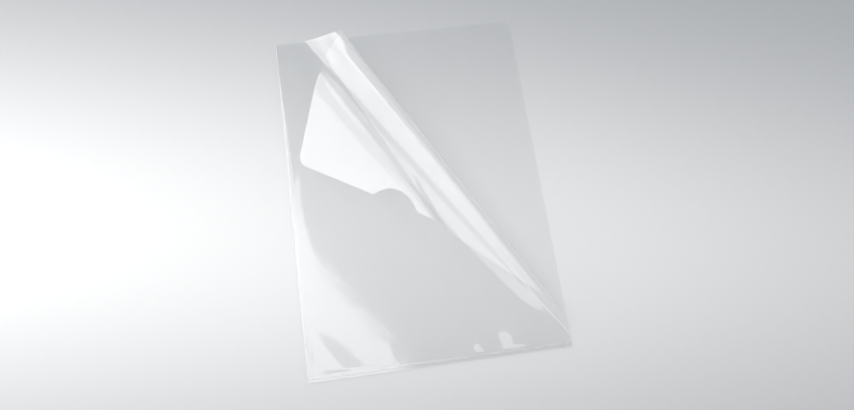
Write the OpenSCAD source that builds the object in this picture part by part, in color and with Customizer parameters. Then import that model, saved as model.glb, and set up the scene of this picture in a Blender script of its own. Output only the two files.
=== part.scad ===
// Clear L-shaped document folder for A4 sheets.
// One film blank is folded along its left edge and welded along its bottom
// edge. The top and the right side stay open. The front sheet has a thumb
// notch in its open side, and its free corner is rolled back over the pocket.
//
// Flat coordinates run from the bottom left corner: u to the right, v up the
// sheet. The model is then centred, so the origin is at the middle of the
// underside, X is the width, Y the height of the sheet and Z points up.

/* [Folder] */
// Width from the folded edge to the open side
folder_w = 220; // [216:1:226]
// Height from the welded edge to the open top
folder_h = 310; // [306:1:316]
// Thickness of the film
film_t = 0.2; // [0.15:0.05:0.25]
// Space inside the pocket between the two sheets
pocket_gap = 0.4; // [0.3:0.1:0.8]
// Radius of the open top corner of both sheets
corner_r = 8; // [4:1:12]

/* [Thumb notch] */
// Height of the lower end of the notch above the welded edge
notch_low = 185; // [180:1:190]
// Length of the notch along the open side
notch_w = 43; // [36:1:48]
// Depth of the notch into the sheet
notch_d = 11.5; // [8:0.5:14]

/* [Bottom weld] */
// Distance from the bottom edge to the weld
weld_inset = 2.2; // [1.5:0.1:3]
// Width of the weld band
weld_w = 2.2; // [1.5:0.1:3]
// Distance between the pressed ticks along the weld
tick_pitch = 1.65; // [1.2:0.05:2.5]
// Width of one tick
tick_w = 0.7; // [0.4:0.1:0.9]
// Height of a tick above the film
tick_h = 0.12; // [0.08:0.02:0.2]

/* [Rolled corner] */
// Turn at each lift-off and shoulder bend line, 0 lays the front sheet flat
bend_angle = 40; // [0:0.5:40.5]
// Turn at a main turn line for each degree at the other lines
turn_ratio = 1.25; // [1.2:0.01:1.3]
// Slit left between neighbouring strips at a bend line
crease_gap = 0.3; // [0.2:0.05:0.4]
// Lift-off bend: where it starts along the top edge
lift_top_from = 23; // [21:1:25]
// Lift-off bend: where it ends along the top edge
lift_top_to = 38; // [35:1:41]
// Lift-off bend: where it starts up the open side
lift_side_from = 7; // [6:1:8]
// Lift-off bend: where it ends up the open side
lift_side_to = 16; // [14:1:18]
// Main turn: where it starts along the top edge
turn_top_from = 60; // [56:1:64]
// Main turn: where it ends along the top edge
turn_top_to = 83; // [80:1:86]
// Main turn: where it starts up the open side
turn_side_from = 23; // [20:1:26]
// Main turn: where it ends up the open side
turn_side_to = 39; // [36:1:42]
// Shoulder bend: where it starts along the top edge
shoulder_top_from = 90; // [88:1:95]
// Shoulder bend: where it ends along the top edge
shoulder_top_to = 160; // [155:1:165]
// Shoulder bend: where it starts up the open side
shoulder_side_from = 152; // [148:1:156]
// Shoulder bend: where it ends up the open side
shoulder_side_to = 173; // [170:1:175]

/* [Hidden] */
$fn = 96;

film = [0.90, 0.93, 0.95, 0.45];
film_bright = [0.97, 0.98, 0.99, 0.55];

// Bend lines in each zone: lift-off, main turn, shoulder
lift_n = 1;
turn_n = 2;
shoulder_n = 2;
bends = lift_n + turn_n + shoulder_n;

// Outer radius of the folded edge and the level of the front sheet
fold_r = film_t + pocket_gap / 2;
front_z = film_t + pocket_gap;
mid_z = front_z + film_t / 2;

// A value between two ends for line i of n, each line in the middle of its share
function share(from, to, i, n) = from + (to - from) * (i + 0.5) / n;

// Where bend line k (1 to bends) meets the top edge and the open side
function line_top(k) =
    k <= lift_n ? share(lift_top_from, lift_top_to, k - 1, lift_n)
  : k <= lift_n + turn_n ? share(turn_top_from, turn_top_to, k - 1 - lift_n, turn_n)
  : share(shoulder_top_from, shoulder_top_to, k - 1 - lift_n - turn_n, shoulder_n);
function line_side(k) =
    k <= lift_n ? share(lift_side_from, lift_side_to, k - 1, lift_n)
  : k <= lift_n + turn_n ? share(turn_side_from, turn_side_to, k - 1 - lift_n, turn_n)
  : share(shoulder_side_from, shoulder_side_to, k - 1 - lift_n - turn_n, shoulder_n);

// Direction of bend line k, from the top edge down to the open side
function line_dir(k) = [folder_w - line_top(k), line_side(k) - folder_h, 0];

// Turn at bend line k
function line_turn(k) =
    k > lift_n && k <= lift_n + turn_n ? bend_angle * turn_ratio : bend_angle;

// Turns its children about bend line k, lifting the free corner
module turn_about(k) {
    translate([line_top(k), folder_h, mid_z])
        rotate(a = line_turn(k), v = line_dir(k))
            translate([-line_top(k), -folder_h, -mid_z])
                children();
}

// Carries a flat strip through every bend line up to k
module rolled(k) {
    if (k == 0) children();
    else rolled(k - 1) turn_about(k) children();
}

// Everything on the free-corner side of bend line k, shifted by s
module beyond(k, s) {
    translate([line_top(k), folder_h, front_z - 1])
        rotate([0, 0, atan2(line_side(k) - folder_h, folder_w - line_top(k))])
            translate([-500, s, 0]) cube([1000, 700, 2 + film_t]);
}

// Cuts the open top corner of a sheet to a quarter round
module corner_trim(z) {
    difference() {
        translate([folder_w - corner_r, folder_h - corner_r, z - 1])
            cube([corner_r + 1, corner_r + 1, film_t + 2]);
        translate([folder_w - corner_r, folder_h - corner_r, z - 2])
            cylinder(r = corner_r, h = film_t + 4);
    }
}

// The thumb notch, a shallow arc cut from the open side
module notch_cut() {
    r = (notch_w * notch_w / 4 + notch_d * notch_d) / (2 * notch_d);
    translate([folder_w + r - notch_d, notch_low + notch_w / 2, front_z - 1])
        cylinder(r = r, h = film_t + 2);
}

// The whole front sheet before it is bent
module front_flat() {
    difference() {
        translate([fold_r, 0, front_z]) cube([folder_w - fold_r, folder_h, film_t]);
        corner_trim(front_z);
        notch_cut();
    }
}

// Strip k of the front sheet, between bend lines k and k + 1, laid flat
module flat_strip(k) {
    difference() {
        intersection() {
            front_flat();
            beyond(k, crease_gap / 2);
        }
        if (k < bends) beyond(k + 1, -crease_gap / 2);
    }
}

// Moves the sheet so that its middle is at the origin
module centred() { translate([-folder_w / 2, -folder_h / 2, 0]) children(); }

module curl_strip(k) { color(film) centred() rolled(k) flat_strip(k); }

module back_sheet() {
    color(film) centred() difference() {
        translate([fold_r, 0, 0]) cube([folder_w - fold_r, folder_h, film_t]);
        corner_trim(0);
    }
}

module spine_fold() {
    color(film_bright) centred()
        translate([fold_r, folder_h, fold_r]) rotate([90, 0, 0])
            difference() {
                cylinder(r = fold_r, h = folder_h);
                translate([0, 0, -1]) cylinder(r = fold_r - film_t, h = folder_h + 2);
                translate([0, -1, -1]) cube([2, 2, folder_h + 2]);
            }
}

module bottom_weld() {
    color(film_bright) centred()
        translate([fold_r, weld_inset, film_t])
            cube([folder_w - fold_r, weld_w, pocket_gap]);
}

module weld_ticks() {
    n = floor((folder_w - 8) / tick_pitch);
    color(film_bright) centred()
        for (i = [0 : n - 1])
            translate([4 + i * tick_pitch, weld_inset + 0.1, front_z + film_t])
                cube([tick_w, weld_w - 0.2, tick_h]);
}

module front_panel() {
    color(film) centred() difference() {
        front_flat();
        beyond(1, -crease_gap / 2);
    }
}

module corner_flap() { curl_strip(bends); }

back_sheet();
spine_fold();
bottom_weld();
weld_ticks();
front_panel();
curl_strip(1);  // curl_strip_01
curl_strip(2);  // curl_strip_02
curl_strip(3);  // curl_strip_03
curl_strip(4);  // curl_strip_04
corner_flap();
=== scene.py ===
import math

import bpy
import numpy as np
from mathutils import Matrix, Vector
from mathutils.geometry import delaunay_2d_cdt


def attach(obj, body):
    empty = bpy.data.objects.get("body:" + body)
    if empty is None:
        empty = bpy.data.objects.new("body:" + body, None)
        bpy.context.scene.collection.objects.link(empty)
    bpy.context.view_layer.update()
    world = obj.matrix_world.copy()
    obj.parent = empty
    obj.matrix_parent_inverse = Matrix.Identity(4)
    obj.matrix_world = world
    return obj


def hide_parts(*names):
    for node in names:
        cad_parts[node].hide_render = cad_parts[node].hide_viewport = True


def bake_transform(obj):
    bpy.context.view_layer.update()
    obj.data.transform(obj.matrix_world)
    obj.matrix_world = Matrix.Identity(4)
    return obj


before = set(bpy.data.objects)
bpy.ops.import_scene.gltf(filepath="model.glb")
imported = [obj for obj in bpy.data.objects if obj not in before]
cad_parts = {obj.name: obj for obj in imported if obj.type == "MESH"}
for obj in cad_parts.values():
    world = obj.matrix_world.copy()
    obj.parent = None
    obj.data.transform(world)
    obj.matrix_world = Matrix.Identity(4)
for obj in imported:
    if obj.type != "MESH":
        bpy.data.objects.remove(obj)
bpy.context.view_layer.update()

# ---------------------------------------------------------------------------
# Sizes in millimetres, the same as in the CAD source. u runs right from the
# folded edge and v up from the welded edge.
W, H, FT, GAP = 220.0, 310.0, 0.2, 0.4
MZ = FT + GAP + FT / 2
FOLD_R = FT + GAP / 2
CORNER = 8.0
NOTCH_LOW, NOTCH_W, NOTCH_D = 185.0, 43.0, 11.5
NOTCH_R = (NOTCH_W ** 2 / 4 + NOTCH_D ** 2) / (2 * NOTCH_D)
NOTCH_U, NOTCH_V = W + NOTCH_R - NOTCH_D, NOTCH_LOW + NOTCH_W / 2
# shares, turn of each share, top edge from and to, open side from and to
ZONES = [(1, 40.0, 23.0, 38.0, 7.0, 16.0),
         (2, 50.0, 60.0, 83.0, 23.0, 39.0),
         (2, 40.0, 90.0, 160.0, 152.0, 173.0)]
SUB = 36
# floor colours: painted light in the middle of the bright band, painted shade far from it
FLOOR_PAINTED_LIGHT, FLOOR_PAINTED_SHADE = (0.729, 0.730, 0.731), (0.271, 0.280, 0.295)


# ---------------------------------------------------------------------------
# The bent film: a flat point (u, v) goes to its place on the rolled sheet.
def smooth(x, a, b):
    t = np.clip((x - a) / (b - a), 0, 1)
    return t * t * (3 - 2 * t)


def eased(z, s):
    """How much of a zone's turn is done at s. It eases in and out at the ends, and the shoulder is sharpest in its middle."""
    n = ZONES[z][0]
    s = np.clip(np.asarray(s, float), 0, 1)
    x = s * n
    i = np.minimum(np.floor(x), n - 1)
    f = x - i
    if n == 1:
        g = f * f * (3 - 2 * f)
    else:
        e = 1 - f
        g = np.where(i == 0, f * f * (2 - f), np.where(i == n - 1, 1 - e * e * (2 - e), f))
    if z == 2:
        return 0.55 * (i + g) / n + 0.45 * smooth(s, 0.44, 0.50)
    return (i + g) / n


def ruling(z, s):
    """Top end (a, H) and side end (W, b) of the straight line at s in a zone."""
    n, turn, a0, a1, b0, b1 = ZONES[z]
    return a0 + (a1 - a0) * s, b0 + (b1 - b0) * s


def turn_about(p, a, b, angle, vector=False):
    """Rows of p turned by angle about the line from (a, H) to (W, b) in the flat sheet."""
    a, b, angle = (np.broadcast_to(np.asarray(x, float), (len(p),)) for x in (a, b, angle))
    d = np.stack([W - a, b - H, np.zeros(len(p))], 1)
    d = d / np.linalg.norm(d, axis=1)[:, None]
    o = np.stack([a, np.full(len(p), H), np.full(len(p), MZ)], 1)
    q = p if vector else p - o
    c, s = np.cos(angle)[:, None], np.sin(angle)[:, None]
    q = q * c + np.cross(d, q) * s + d * np.sum(d * q, 1)[:, None] * (1 - c)
    return q if vector else q + o


def zone_tables():
    out = []
    for z, (n, turn, *_r) in enumerate(ZONES):
        k = n * SUB
        whole = math.radians(n * turn)
        steps = [np.eye(4)]
        for j in range(k):
            s0, s1 = j / k, (j + 1) / k
            a, b = ruling(z, (s0 + s1) / 2)
            angle = whole * float(eased(z, s1) - eased(z, s0))
            m = np.eye(4)
            m[:3, :3] = turn_about(np.eye(3), a, b, angle, True).T
            o = np.array([a, H, MZ])
            m[:3, 3] = o - m[:3, :3] @ o
            steps.append(steps[-1] @ m)
        out.append(np.array(steps))
    return out


TABLES = zone_tables()


def solve_between(u, v, line):
    """Where each flat point lies between two straight lines, from 0 at the first to 1 at the last."""
    def side(s):
        a, b = line(s)
        return -(b - H) * (u - a) + (W - a) * (v - H)
    lo, hi = np.zeros(len(u)), np.ones(len(u))
    before, past = side(lo) <= 1e-9, side(hi) >= -1e-9
    for _ in range(52):
        mid = (lo + hi) / 2
        up = side(mid) > 0
        lo, hi = np.where(up, mid, lo), np.where(up, hi, mid)
    return np.where(past, 1.0, np.where(before, 0.0, (lo + hi) / 2))


def solve_s(z, u, v):
    """Where each flat point lies in a zone, from 0 before it to 1 past it."""
    s = solve_between(u, v, lambda x: ruling(z, x))
    near = np.round(s * ZONES[z][0]) / ZONES[z][0]
    return np.where(np.abs(s - near) < 1e-7, near, s)


def zone_place(z, s, p, vector=False):
    n, turn, *_r = ZONES[z]
    k = n * SUB
    j = np.minimum(np.floor(s * k + 1e-9).astype(int), k)
    sj = j / k
    a, b = ruling(z, (sj + s) / 2)
    angle = math.radians(n * turn) * (eased(z, s) - eased(z, sj))
    q = turn_about(p, a, b, angle, vector)
    m = TABLES[z][j]
    q = np.einsum("nij,nj->ni", m[:, :3, :3], q)
    return q if vector else q + m[:, :3, 3]


def film(uv):
    """Middle of the film and its three directions for flat points uv, in millimetres."""
    u, v = uv[:, 0], uv[:, 1]
    n = len(u)
    p = np.stack([u, v, np.full(n, MZ)], 1)
    axes = [np.tile(e, (n, 1)) for e in np.eye(3)]
    for z in (2, 1, 0):
        s = solve_s(z, u, v)
        p = zone_place(z, s, p)
        axes = [zone_place(z, s, e, True) for e in axes]
    return p, axes


# ---------------------------------------------------------------------------
# Small unevenness of the film, along its normal.
def roll_distance(u, v, z=0, s=0.0):
    """Distance of a flat point past a straight line, by default the one where the front sheet lifts off."""
    a, b = ruling(z, s)
    d = np.array([W - a, b - H])
    d = d / np.linalg.norm(d)
    return -d[1] * (u - a) + d[0] * (v - H)


def bump_at(u, v, cu, cv, ru, rv, angle=0.0):
    c, s = math.cos(angle), math.sin(angle)
    x, y = (u - cu) * c + (v - cv) * s, -(u - cu) * s + (v - cv) * c
    return np.exp(-(x / ru) ** 2 - (y / rv) ** 2)


def lower_sag(u, v):
    """The rising film keeps turning a little between the lift-off and the main turn."""
    (a0, b0), (a1, b1), (a2, b2) = ruling(0, 1.0), ruling(1, 0.0), ruling(1, 1.0)
    w = solve_between(u, v, lambda x: (a0 + (a1 - a0) * x, b0 + (b1 - b0) * x))
    s = solve_between(u, v, lambda x: (a1 + (a2 - a1) * x, b1 + (b2 - b1) * x))
    along = np.clip((H - v) / (H - 20.0), 0, 1)
    y = w + s * (1.07 + along)
    size = (2.3 - 1.8 * along) * (1 - 0.6 * smooth(v, 280.0, 310.0))
    return size * smooth(y, 0.6, 1.4) * (1 - smooth(s, 0.3, 1.0))


def front_uneven(u, v):
    r = roll_distance(u, v)
    fold = 1 - np.exp(-np.maximum(u - FOLD_R, 0) / 1.6)
    weld = smooth(v, 4.6, 60.0)
    keep = 1 - smooth(r, -70.0, -12.0)
    # the sheet starts to rise gently just before it lifts off
    x = r - 5.0 + 3.5 * smooth(v, 25.0, 110.0)
    turned = solve_s(1, u, v)
    rise = 2.6 * np.exp(-(x / np.where(x < 0, 12.0, 26.0)) ** 2) * smooth(v, 4.6, 55.0) * smooth(u, 20.0, 65.0)
    rise = rise * (1 - smooth(turned, 0.1, 1.0))
    dome = 0.55 * fold * weld * keep
    # the lower part of the sheet swells next to the fold
    w = 8.0 - 3.0 * smooth(v, 90.0, 150.0)
    x = np.maximum(u - FOLD_R - 8.0 * smooth(v, 150.0, 195.0), 0) / w
    swell = (1 - np.exp(-x * x)) * (1 - smooth(u, 12.0, 120.0)) * smooth(v, 30.0, 120.0) * (1 - smooth(v, 150.0, 205.0))
    dome = dome + 0.11 * w * swell * keep
    wave = 0.05 * np.sin(r / 13.0 + 0.6) + 0.06 * np.sin(v / 31.0 + u / 57.0)
    wave = wave * fold * weld * keep
    # a soft ripple across the lower left corner
    ripple = 1.15 * bump_at(u, v, 22.5, 13.5, 11.0, 38.0, 0.68) * smooth(u, 0.6, 7.0) * smooth(v, 4.6, 8.0)
    # puckers that run up from the weld
    seam = smooth(v, 4.5, 8.0) * (1 - smooth(v, 16.0, 46.0))
    pucker = (1.80 * bump_at(u, v, 173, 19, 11, 15, 0.15)
              + 0.75 * bump_at(u, v, 144.5, 11, 4.5, 5)
              + 0.60 * bump_at(u, v, 71, 12, 3.5, 6)
              - 0.12 * bump_at(u, v, 104, 14, 16, 10)) * seam
    # past the main turn the upper layer keeps a little of its round
    d = np.maximum(roll_distance(u, v, 1, 1.0), 0)
    crown = 3.2 * smooth(d, 0.0, 48.0) * (1 - smooth(solve_s(2, u, v), 0.0, 0.9))
    # the shoulder stands in a little from its bend lines, so that it lies above the back sheet when closed
    s = solve_s(2, u, v)
    inset = 0.9 * smooth(turned, 0.2, 1.0) * (1 - smooth(s, 0.55, 1.0))
    inset = inset + 3.7 * np.clip((v - 185.0) / 125.0, 0, 1) ** 1.15 * smooth(s, 0.05, 0.46) * (1 - smooth(s, 0.47, 0.76))
    return dome + wave + rise + ripple + pucker + lower_sag(u, v) + crown + inset


def back_uneven(u, v):
    w = 0.10 * (1 + np.sin(u / 38.0 + v / 71.0 + 0.4)) + 0.06 * (1 + np.sin(v / 27.0 - u / 49.0))
    return w * smooth(u, 0.4, 14.0) * smooth(v, 4.6, 26.0) * 0.8


def slopes(f, u, v, h=0.05):
    return (f(u + h, v) - f(u - h, v)) / (2 * h), (f(u, v + h) - f(u, v - h)) / (2 * h)


# ---------------------------------------------------------------------------
# Meshes. Each sheet is a closed thin shell, cut at the bend shares.
def outline(u, v):
    """True on the cut edge of a sheet, false on a seam between two pieces of it."""
    e = 1e-3
    notch = abs(math.hypot(u - NOTCH_U, v - NOTCH_V) - NOTCH_R) < 0.12 and u > W - NOTCH_D - 1
    corner = u > W - CORNER and v > H - CORNER and abs(math.hypot(u - W + CORNER, v - H + CORNER) - CORNER) < 0.12
    return u > W - e or v > H - e or v < e or notch or corner


def make_shell(name, uv, faces, bent=True):
    uv = np.asarray(uv, float)
    u, v = uv[:, 0], uv[:, 1]
    n = len(uv)
    if bent:
        p, (eu, ev, en) = film(uv)
        f = front_uneven
    else:
        p = np.stack([u, v, np.full(n, FT / 2)], 1)
        eu, ev, en = (np.tile(e, (n, 1)) for e in np.eye(3))
        f = back_uneven
    du, dv = slopes(f, u, v)
    normal = en - eu * du[:, None] - ev * dv[:, None]
    normal = normal / np.linalg.norm(normal, axis=1)[:, None]
    mid = p + en * f(u, v)[:, None]
    verts = np.concatenate([mid + normal * FT / 2, mid - normal * FT / 2])
    verts = (verts - np.array([W / 2, H / 2, 0])) / 1000.0

    good = []
    for face in faces:
        q = uv[list(face)]
        area = 0.5 * np.sum(q[:, 0] * np.roll(q[:, 1], -1) - q[:, 1] * np.roll(q[:, 0], -1))
        if abs(area) < 1e-9:
            continue
        good.append(tuple(face) if area > 0 else tuple(reversed(face)))
    count = {}
    for face in good:
        for i, a in enumerate(face):
            b = face[(i + 1) % len(face)]
            count[(a, b)] = True
    rim, cut = [], []
    for (a, b) in count:
        if (b, a) not in count:
            rim.append((a, a + n, b + n, b))
            m = (uv[a] + uv[b]) / 2
            cut.append(outline(float(m[0]), float(m[1])))
    every = good + [tuple(x + n for x in reversed(face)) for face in good] + rim
    mesh = bpy.data.meshes.new(name)
    mesh.from_pydata(verts.tolist(), [], every)
    mesh.update()
    k = len(good)
    index = np.zeros(len(every), np.int32)
    index[2 * k:] = [1 if c else 0 for c in cut]
    mesh.polygons.foreach_set("material_index", index)
    mesh.polygons.foreach_set("use_smooth", [True] * len(every))
    both = np.concatenate([normal, -normal])
    loops = []
    for i, poly in enumerate(mesh.polygons):
        if i < 2 * k:
            loops.extend(both[x] for x in every[i])
        else:
            loops.extend([np.array(poly.normal)] * len(every[i]))
    mesh.normals_split_custom_set([tuple(float(c) for c in x) for x in loops])
    ob = bpy.data.objects.new(name, mesh)
    bpy.context.scene.collection.objects.link(ob)
    return ob, verts


def along_samples():
    low = list(np.arange(8.0, 30.0, 1.0))
    high = list(np.linspace(30.0, H, 95))
    v = np.array(low + high)[::-1]
    return (H - v) / (H - 8.0)


ALONG = along_samples()


def clip(a, b):
    """The part of the line from (a, H) to (W, b) that is film, as two fractions."""
    d = np.array([W - a, b - H])
    t0, t1 = 0.0, 1.0

    def hits(cu, cv, r):
        o = np.array([a - cu, H - cv])
        qa, qb, qc = d @ d, 2 * (o @ d), o @ o - r * r
        disc = qb * qb - 4 * qa * qc
        if disc <= 0:
            return None
        disc = math.sqrt(disc)
        return (-qb - disc) / (2 * qa), (-qb + disc) / (2 * qa)
    if NOTCH_LOW + 1 < b < NOTCH_LOW + NOTCH_W:
        h = hits(NOTCH_U, NOTCH_V, NOTCH_R)
        if h:
            t1 = min(t1, h[0])
    if a > W - CORNER or b > H - CORNER:
        h = hits(W - CORNER, H - CORNER, CORNER)
        if h:
            if a > W - CORNER:
                t0 = max(t0, h[0])
            if b > H - CORNER:
                t1 = min(t1, h[1])
    return t0, t1


def ruled(stations, along):
    """A grid of flat points: one row for each straight line (a, b), along its film part."""
    rows = []
    for a, b in stations:
        t0, t1 = clip(a, b)
        t = t0 + (t1 - t0) * along
        rows.append(np.stack([a + (W - a) * t, H + (b - H) * t], 1))
    return np.array(rows)


def grid_faces(nr, nc):
    return [(i * nc + j, i * nc + j + 1, (i + 1) * nc + j + 1, (i + 1) * nc + j)
            for i in range(nr - 1) for j in range(nc - 1)]


def ruled_piece(name, stations):
    g = ruled(stations, ALONG)
    return make_shell(name, g.reshape(-1, 2), grid_faces(g.shape[0], g.shape[1]))


def zone_stations(z, s0, s1, steps):
    return [ruling(z, s0 + (s1 - s0) * i / steps) for i in range(steps + 1)]


def between(p, q, steps):
    return [(p[0] + (q[0] - p[0]) * i / steps, p[1] + (q[1] - p[1]) * i / steps) for i in range(steps + 1)]


def blend_piece(ob, verts, g):
    """Works out the span across the hinge in its middle row, from the first border to the last, then bakes the piece's
    placement into its mesh.
    """
    nr, nc = g
    first, last = borders(verts, g)
    rows = verts[:nr * nc].reshape(nr, nc, 3)
    hinge = rows[nr // 2]
    d = (rows[nr // 2 + 1] - rows[nr // 2 - 1]).mean(0)
    run = (hinge[-1] - hinge[0]) / np.linalg.norm(hinge[-1] - hinge[0])
    d = d - run * (d @ run)
    d = d / np.linalg.norm(d)
    start, end = (first @ d).max(), (last @ d).min()
    if end - start < 2e-4:
        middle = (start + end) / 2
        start, end = middle - 1e-4, middle + 1e-4
    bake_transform(ob)


def borders(verts, g):
    """Both faces of the first and last row of a grid of points, from a shell's vertices."""
    nr, nc = g
    n = nr * nc
    first = np.concatenate([verts[:nc], verts[n:n + nc]])
    last = np.concatenate([verts[n - nc:n], verts[2 * n - nc:2 * n]])
    order = np.argsort(np.concatenate([np.arange(nc), np.arange(nc)]), kind="stable")
    return first[order], last[order]


pieces = {}


def add_front_panel():
    v_rows = list(np.arange(0.0, 8.0, 0.8)) + list((H - (H - 8.0) * ALONG)[::-1])
    near = np.array([FOLD_R, 0.6, 0.9, 1.3, 1.8, 2.4, 3.1, 4.0, 5.0, 6.2, 7.6, 9.3, 11.4, 14.0])
    rest = np.linspace(0, 1, 66)[1:]
    a, b = ruling(0, 0.0)
    rows = []
    for v in v_rows:
        edge = W if v <= b else a + (W - a) * (H - v) / (H - b)
        us = np.concatenate([near, near[-1] + (edge - near[-1]) * rest])
        rows.append(np.stack([us, np.full(len(us), v)], 1))
    g = np.array(rows)
    return make_shell("film_front_panel", g.reshape(-1, 2), grid_faces(g.shape[0], g.shape[1]))


def add_back_sheet():
    v_rows = list(np.linspace(0, 30, 25)) + list(np.linspace(30, H - CORNER, 96)[1:])
    v_rows += [H - CORNER + CORNER * math.sin(math.radians(x)) for x in np.linspace(0, 90, 17)[1:]]
    near = np.array([FOLD_R, 1.0, 2.0, 3.5, 6.0, 9.0, 12.0])
    rest = np.linspace(0, 1, 80)[1:]
    rows = []
    for v in v_rows:
        x = max(v - (H - CORNER), 0.0)
        edge = W - CORNER + math.sqrt(max(CORNER ** 2 - x * x, 0.0)) if x > 0 else W
        us = np.concatenate([near, near[-1] + (edge - near[-1]) * rest])
        rows.append(np.stack([us, np.full(len(us), v)], 1))
    g = np.array(rows)
    return make_shell("film_back_sheet", g.reshape(-1, 2), grid_faces(g.shape[0], g.shape[1]), False)


def inside(poly, q):
    x, y = q
    odd = False
    j = len(poly) - 1
    for i in range(len(poly)):
        xi, yi = poly[i]
        xj, yj = poly[j]
        if (yi > y) != (yj > y) and x < (xj - xi) * (y - yi) / (yj - yi) + xi:
            odd = not odd
        j = i
    return odd


def add_flap():
    """The free corner past the shoulder, with the thumb notch and the round corner."""
    a1, b1 = ruling(2, 1.0)
    seam = ruled([(a1, b1)], ALONG)[0]
    t1 = math.atan2(NOTCH_LOW - NOTCH_V, W - NOTCH_U) % (2 * math.pi)
    t2 = math.atan2(NOTCH_LOW + NOTCH_W - NOTCH_V, W - NOTCH_U) % (2 * math.pi)
    notch = [(NOTCH_U + NOTCH_R * math.cos(t), NOTCH_V + NOTCH_R * math.sin(t)) for t in np.linspace(t1, t2, 72)]
    notch[0], notch[-1] = (W, NOTCH_LOW), (W, NOTCH_LOW + NOTCH_W)
    low = [(W, v) for v in np.linspace(b1, NOTCH_LOW, 7)[1:-1]]
    high = [(W, v) for v in np.linspace(NOTCH_LOW + NOTCH_W, H - CORNER, 28)[1:-1]]
    corner = [(W - CORNER + CORNER * math.cos(t), H - CORNER + CORNER * math.sin(t)) for t in np.linspace(0, math.pi / 2, 22)]
    top = [(u, H) for u in np.linspace(W - CORNER, a1, 20)[1:-1]]
    loop = [(float(x), float(y)) for x, y in list(seam) + low + notch + high + corner + top]
    ring = np.array(loop)
    inner = []
    da, db = W - a1, H - b1
    for x in np.linspace(0, 1, 40)[1:-1]:
        a, b = a1 + da * x, b1 + db * x
        for t in np.linspace(0, 1, max(int(70 * (1 - x)), 3))[1:-1]:
            q = (a + (W - a) * t, H + (b - H) * t)
            if np.min(np.hypot(ring[:, 0] - q[0], ring[:, 1] - q[1])) > 0.8 and inside(loop, q):
                inner.append(q)
    pts = [Vector(q) for q in loop + inner]
    edges = [(i, (i + 1) % len(loop)) for i in range(len(loop))]
    out = delaunay_2d_cdt(pts, edges, [], 1, 1e-6)
    uv = np.array([[q[0], q[1]] for q in out[0]])
    exact = np.array(loop + inner)
    for i, orig in enumerate(out[3]):
        if orig:
            uv[i] = exact[orig[0]]
    return make_shell("film_flap", uv, [tuple(f) for f in out[2]])


def build():
    ob, _v = add_back_sheet()
    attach(ob, "pocket")
    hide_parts("back_sheet")
    pieces[ob.name] = ob
    ob, _v = add_front_panel()
    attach(ob, "pocket")
    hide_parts("front_panel")
    pieces[ob.name] = ob

    flats = [("film_strip_01", between(ruling(0, 1.0), ruling(1, 0.0), 12), "strip_01", "curl_strip_01"),
             ("film_strip_03", between(ruling(1, 1.0), ruling(2, 0.0), 24), "strip_03", "curl_strip_03")]
    for name, stations, body, node in flats:
        ob, _v = ruled_piece(name, stations)
        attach(ob, body)
        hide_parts(node)
        pieces[name] = ob
    bends = [("film_bend_01", 0, 0.0, 1.0, 1, None), ("film_bend_02", 1, 0.0, 0.5, 2, "curl_strip_02"),
             ("film_bend_03", 1, 0.5, 1.0, 3, None), ("film_bend_04", 2, 0.0, 0.5, 4, "curl_strip_04"),
             ("film_bend_05", 2, 0.5, 1.0, 5, None)]
    for name, z, s0, s1, k, node in bends:
        stations = zone_stations(z, s0, s1, SUB)
        ob, verts = ruled_piece(name, stations)
        blend_piece(ob, verts, (len(stations), len(ALONG)))
        if node:
            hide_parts(node)
        pieces[name] = ob
    ob, _v = add_flap()
    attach(ob, "flap")
    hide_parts("corner_flap")
    pieces[ob.name] = ob


# ---------------------------------------------------------------------------
# Materials
class Nodes:
    """Short calls for building a node tree."""

    def __init__(self, name):
        self.mat = bpy.data.materials.new(name)
        self.mat.use_nodes = True
        self.tree = self.mat.node_tree
        self.tree.nodes.clear()
        self.out = self.tree.nodes.new("ShaderNodeOutputMaterial")

    def add(self, kind, **values):
        node = self.tree.nodes.new(kind)
        for key, value in values.items():
            setattr(node, key, value)
        return node

    def link(self, a, b):
        self.tree.links.new(a, b)

    def math(self, op, a, b=None, c=None, clamp=False):
        node = self.add("ShaderNodeMath", operation=op, use_clamp=clamp)
        for i, x in enumerate((a, b, c)):
            if x is None:
                continue
            if isinstance(x, (int, float)):
                node.inputs[i].default_value = x
            else:
                self.link(x, node.inputs[i])
        return node.outputs[0]

    def noise(self, vector, scale, detail=2.0, rough=0.5):
        node = self.add("ShaderNodeTexNoise")
        node.inputs["Scale"].default_value = scale
        node.inputs["Detail"].default_value = detail
        node.inputs["Roughness"].default_value = rough
        self.link(vector, node.inputs["Vector"])
        return node.outputs["Fac"]


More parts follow.
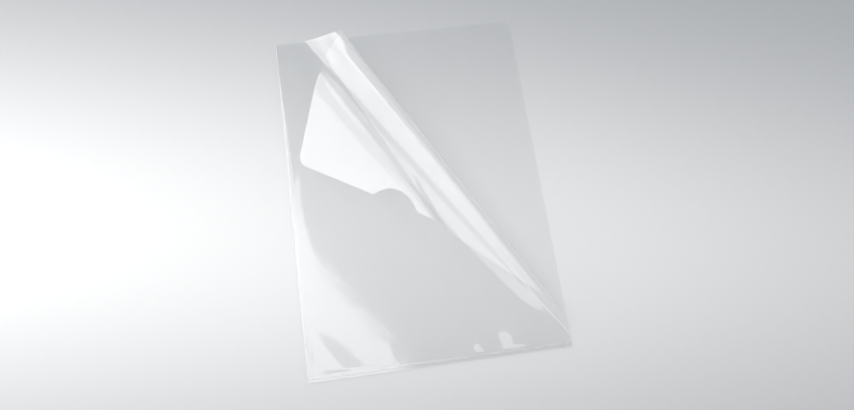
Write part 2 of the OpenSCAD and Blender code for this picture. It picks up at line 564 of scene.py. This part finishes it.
def film_material(name, haze=0.027, rough=0.095, tint=(0.991, 0.992, 0.993), white=(0.93, 0.938, 0.945), scratch=0.05, peel=0.05, patchy=0.0):
    n = Nodes(name)
    place = n.add("ShaderNodeTexCoord").outputs["Object"]
    broad = n.noise(place, 22.0, 2.0)
    grain = n.noise(place, 2400.0, 3.0, 0.6)
    stretch = n.add("ShaderNodeMapping")
    stretch.inputs["Rotation"].default_value = (0.0, 0.0, math.radians(-31))
    stretch.inputs["Scale"].default_value = (1500.0, 26.0, 40.0)
    n.link(place, stretch.inputs["Vector"])
    lines = n.noise(stretch.outputs["Vector"], 1.0, 2.0)
    fine = n.math("MULTIPLY", n.math("SUBTRACT", lines, 0.66, clamp=True), 3.0, clamp=True)
    # a faint haze that is uneven and grainy, a little stronger in the hairlines
    veil = n.math("MULTIPLY_ADD", grain, haze * 0.8, haze * 0.35)
    veil = n.math("MULTIPLY_ADD", broad, haze * 0.5, veil)
    if patchy:
        spots = n.math("MULTIPLY_ADD", n.noise(place, 260.0, 2.0), 4.0, -1.4, True)
        veil = n.math("MULTIPLY", veil, n.math("MULTIPLY_ADD", spots, patchy, 1.0 - patchy))
    veil = n.math("MULTIPLY_ADD", fine, scratch, veil, True)
    shine = n.math("MULTIPLY_ADD", broad, 0.04, rough - 0.02)
    shine = n.math("MULTIPLY_ADD", fine, 0.25, shine, True)
    peel_map = n.noise(place, 140.0, 1.0)
    bump = n.add("ShaderNodeBump")
    bump.inputs["Strength"].default_value = peel
    bump.inputs["Distance"].default_value = 0.0006
    n.link(peel_map, bump.inputs["Height"])
    facing = n.add("ShaderNodeLayerWeight")
    facing.inputs["Blend"].default_value = 0.5
    n.link(bump.outputs["Normal"], facing.inputs["Normal"])
    mirror = n.math("MULTIPLY_ADD", n.math("POWER", facing.outputs["Facing"], 5.0), 0.94, 0.041, True)
    clear = n.add("ShaderNodeBsdfTransparent")
    clear.inputs["Color"].default_value = (*tint, 1.0)
    gloss = n.add("ShaderNodeBsdfGlossy")
    gloss.inputs["Color"].default_value = (1.0, 1.0, 1.0, 1.0)
    n.link(shine, gloss.inputs["Roughness"])
    n.link(bump.outputs["Normal"], gloss.inputs["Normal"])
    milk = n.add("ShaderNodeBsdfDiffuse")
    milk.inputs["Color"].default_value = (*white, 1.0)
    one = n.add("ShaderNodeMixShader")
    n.link(veil, one.inputs[0])
    n.link(clear.outputs[0], one.inputs[1])
    n.link(milk.outputs[0], one.inputs[2])
    two = n.add("ShaderNodeMixShader")
    n.link(mirror, two.inputs[0])
    n.link(one.outputs[0], two.inputs[1])
    n.link(gloss.outputs[0], two.inputs[2])
    n.link(two.outputs[0], n.out.inputs["Surface"])
    return n.mat


def floor_material():
    """Pale matt table top whose colour is a little lighter in a soft band across it: a painted pool of light, with
    painted shade away from it.
    """
    n = Nodes("pale_table_painted_light")
    place = n.add("ShaderNodeTexCoord").outputs["Object"]
    painted_light_pool = n.add("ShaderNodeMapping", vector_type="TEXTURE")
    painted_light_pool.inputs["Location"].default_value = (-0.656, 0.049, 0.0)
    painted_light_pool.inputs["Rotation"].default_value = (0.0, 0.0, -0.152)
    painted_light_pool.inputs["Scale"].default_value = (1.235, 0.198, 1.0)
    n.link(place, painted_light_pool.inputs["Vector"])
    far = n.add("ShaderNodeVectorMath", operation="DOT_PRODUCT")
    n.link(painted_light_pool.outputs["Vector"], far.inputs[0])
    n.link(painted_light_pool.outputs["Vector"], far.inputs[1])
    # painted pool of light: 1 in the middle of the band, falling towards 0 (painted shade) away from it
    glow = n.math("EXPONENT", n.math("MULTIPLY", far.outputs["Value"], -1.0))
    soft = n.math("MULTIPLY_ADD", n.noise(place, 90.0, 4.0, 0.6), 0.03, -0.015)
    ramp = n.add("ShaderNodeMix", data_type="RGBA")
    ramp.inputs[6].default_value = (*FLOOR_PAINTED_SHADE, 1)
    ramp.inputs[7].default_value = (*FLOOR_PAINTED_LIGHT, 1)
    n.link(n.math("ADD", glow, soft, clamp=True), ramp.inputs[0])
    p = n.add("ShaderNodeBsdfPrincipled")
    p.inputs["Roughness"].default_value = 0.8
    p.inputs["Specular IOR Level"].default_value = 0.1
    n.link(ramp.outputs[2], p.inputs["Base Color"])
    n.link(p.outputs[0], n.out.inputs["Surface"])
    return n.mat


def dress():
    clear = film_material("clear_film")
    edge = film_material("film_cut_edge", haze=0.20, rough=0.25, scratch=0.0)
    crease = film_material("film_crease", haze=0.16, rough=0.16, scratch=0.04)
    weld = film_material("film_weld", haze=0.05, rough=0.20, scratch=0.05, peel=0.2)
    tick = film_material("film_weld_tick", haze=0.28, rough=0.25, scratch=0.0, peel=0.2, patchy=0.8)
    for ob in pieces.values():
        ob.data.materials.clear()
        ob.data.materials.append(clear)
        ob.data.materials.append(edge)
    for node, mat in (("spine_fold", crease), ("bottom_weld", weld), ("weld_ticks", tick)):
        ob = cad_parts[node]
        ob.data.materials.clear()
        ob.data.materials.append(mat)


# ---------------------------------------------------------------------------
# Table, light and camera
def row(u, v, z):
    return Vector(((u - W / 2) / 1000, (v - H / 2) / 1000, z / 1000))


def add_floor():
    mesh = bpy.data.meshes.new("table_top")
    r, z = 5.0, -0.00025
    mesh.from_pydata([(-r, -r, z), (r, -r, z), (r, r, z), (-r, r, z)], [], [(0, 1, 2, 3)])
    ob = bpy.data.objects.new("table_top", mesh)
    bpy.context.scene.collection.objects.link(ob)
    mesh.materials.append(floor_material())


def add_light(name, place, target, across, size_x, size_y, radiance, colour=(1, 1, 1)):
    """A soft box that faces target, with its x side along across."""
    light = bpy.data.lights.new(name, "AREA")
    light.shape = "RECTANGLE"
    light.size, light.size_y = size_x, size_y
    light.energy = radiance * math.pi * size_x * size_y
    light.color = colour
    ob = bpy.data.objects.new(name, light)
    back = (Vector(place) - Vector(target)).normalized()
    x = Vector(across)
    x = (x - back * x.dot(back)).normalized()
    y = back.cross(x)
    m = Matrix((x, y, back)).transposed().to_4x4()
    m.translation = Vector(place)
    ob.matrix_world = m
    ob.visible_camera = False
    bpy.context.scene.collection.objects.link(ob)
    return ob


def add_lights():
    world = bpy.data.worlds.new("studio")
    world.use_nodes = True
    bg = world.node_tree.nodes["Background"]
    bg.inputs["Color"].default_value = (0.955, 0.98, 1.0, 1)
    bg.inputs["Strength"].default_value = 0.62
    bpy.context.scene.world = world
    away = Vector((0.854, 0.521, 0.0))
    across = Vector((0.521, -0.854, 0.0))
    # overhead panel: its far side is a little past overhead, its near side to the left and front
    panel(away, across, (-0.003, 1.30), (-0.42, 1.05), 2.2, 1.6, "overhead_panel", 0.0, (1.0, 0.99, 0.98))
    # strong soft box low on the left, which falls off upwards and towards the front
    left, side = Vector((1, 0.06, 0)), Vector((0.06, -1, 0))
    box = panel(left, side, (-0.67, 1.68), (-1.76, 0.45), 2.72, 3.8, "left_softbox", -0.67, (1.0, 0.985, 0.97))
    falloff(box.data, (0, 0.80, 0.97, 0.60), (1, 0.12, 0.30, 0.30), (1, 0.62, 0.98, 0.75))
    # weaker soft box behind on the right
    panel(Vector((0.74, 0.67, 0)), Vector((-0.67, 0.74, 0)), (1.40, 1.64), (0.76, 0.004), 2.34, 1.2, "right_softbox")


def panel(away, across, top, low, width, radiance, name, shift=0.0, colour=(1, 1, 1)):
    """A soft box whose upper and lower sides are at (distance along away, height), facing the object."""
    a = away.normalized() * top[0] + Vector((0, 0, top[1]))
    b = away.normalized() * low[0] + Vector((0, 0, low[1]))
    normal = across.cross(a - b).normalized()
    middle = (a + b) / 2
    if normal.dot(-middle) < 0:
        normal = -normal
    middle = middle + across.normalized() * shift
    return add_light(name, middle, middle + normal, across, width, (a - b).length, radiance, colour)


def falloff(light, *sides):
    """Dims a soft box smoothly across its width and its height. Each side gives the axis, from, to and how much is lost."""
    light.use_nodes = True
    tree = light.node_tree
    glow = next(x for x in tree.nodes if x.type == "EMISSION")
    place = tree.nodes.new("ShaderNodeSeparateXYZ")
    tree.links.new(tree.nodes.new("ShaderNodeNewGeometry").outputs["Parametric"], place.inputs[0])
    strength = None
    for i, start, end, loss in sides:
        fade = tree.nodes.new("ShaderNodeMapRange")
        fade.interpolation_type = "SMOOTHSTEP"
        tree.links.new(place.outputs[i], fade.inputs["Value"])
        for key, value in (("From Min", start), ("From Max", end), ("To Min", 1.0), ("To Max", 1.0 - loss)):
            fade.inputs[key].default_value = value
        if strength is None:
            strength = fade.outputs["Result"]
        else:
            both = tree.nodes.new("ShaderNodeMath")
            both.operation = "MULTIPLY"
            tree.links.new(strength, both.inputs[0])
            tree.links.new(fade.outputs["Result"], both.inputs[1])
            strength = both.outputs[0]
    tree.links.new(strength, glow.inputs["Strength"])


def add_camera():
    rv = np.array([2.8313338097713143, -0.19253459497756983, 0.095928049193125])
    t = np.array([-96.24332541123935, 144.68319061171522, 624.0857442314278])
    th = np.linalg.norm(rv)
    k = rv / th
    kx = np.array([[0, -k[2], k[1]], [k[2], 0, -k[0]], [-k[1], k[0], 0]])
    m = np.eye(3) + math.sin(th) * kx + (1 - math.cos(th)) * kx @ kx
    eye = -m.T @ t
    cam = bpy.data.cameras.new("camera")
    cam.sensor_fit = "HORIZONTAL"
    cam.sensor_width = 36.0
    cam.lens = 36.0 * 770.582 / 854.0
    cam.clip_start, cam.clip_end = 0.01, 50.0
    ob = bpy.data.objects.new("camera", cam)
    place = Matrix((m[0], -m[1], -m[2])).transposed().to_4x4()
    place.translation = row(*eye)
    ob.matrix_world = place
    bpy.context.scene.collection.objects.link(ob)
    bpy.context.scene.camera = ob


build()
dress()
add_floor()
add_lights()
add_camera()
scene = bpy.context.scene
scene.view_settings.view_transform = "Standard"
scene.cycles.transparent_max_bounces = 32
